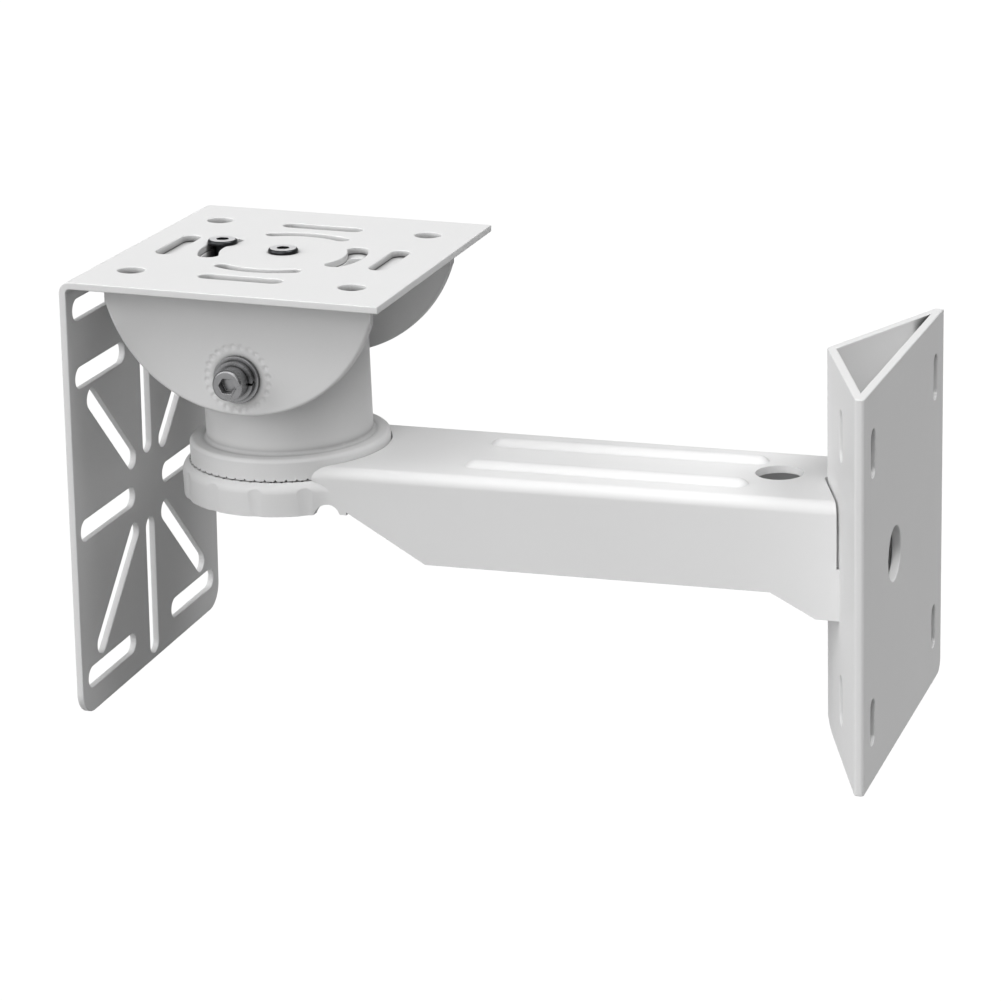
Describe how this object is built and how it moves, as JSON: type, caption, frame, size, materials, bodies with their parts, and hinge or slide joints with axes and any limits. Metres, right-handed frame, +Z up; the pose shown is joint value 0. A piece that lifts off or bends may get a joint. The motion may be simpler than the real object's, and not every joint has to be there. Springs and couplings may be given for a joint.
{
  "type": "camera wall bracket",
  "caption": "Wall bracket for a security camera: wedge-shaped wall plate, pressed channel arm, toothed swivel post, tilting cradle and a slotted L-shaped camera plate.",
  "frame": {"origin": "middle of the wall plate's flat wall-side face", "axes": "+X points into the wall, the arm reaches out along -X, +Y runs along the wall away from the viewer, +Z is up"},
  "size_m": [0.2801, 0.1275, 0.1556],
  "materials": {
    "powder_coat": "satin pale grey powder coat",
    "zinc_steel": "bright zinc plating",
    "dark_steel": "black oxide"
  },
  "bodies": {
    "base": {"wall_plate": "powder_coat", "arm": "powder_coat"},
    "swivel": {"swivel_post": "powder_coat", "pan_bolt": "zinc_steel", "pan_bolt_washer": "zinc_steel", "cup_washer": "zinc_steel", "pan_spring_washer": "zinc_steel", "pan_nut": "zinc_steel"},
    "head": {"cradle": "powder_coat", "tilt_screw": "zinc_steel", "tilt_washer_near": "zinc_steel", "tilt_spring_washer": "zinc_steel", "tilt_washer_far": "zinc_steel", "tilt_nut": "zinc_steel", "centre_screw": "dark_steel", "centre_screw_washer": "zinc_steel", "centre_screw_nut": "zinc_steel", "arc_screw": "dark_steel", "arc_screw_washer": "zinc_steel", "arc_screw_nut": "zinc_steel"},
    "plate": {"camera_plate": "powder_coat"}
  },
  "joints": [
    {"name": "pan", "type": "hinge", "parent": "base", "child": "swivel", "pos_m": [-0.2173, 0, 0.0162], "axis": [0, 0, 1], "range_deg": [-92.8, 87.2]},
    {"name": "tilt", "type": "hinge", "parent": "swivel", "child": "head", "pos_m": [-0.2173, 0, 0.055], "axis": [-0.0488, 0.9988, 0], "range_deg": [-14.2, 42.8]},
    {"name": "plate_turn", "type": "hinge", "parent": "head", "child": "plate", "pos_m": [-0.21604, 0.00006, 0.08798], "axis": [0.0383, 0.0019, 0.9993], "range_deg": [-6, 6]}
  ]
}
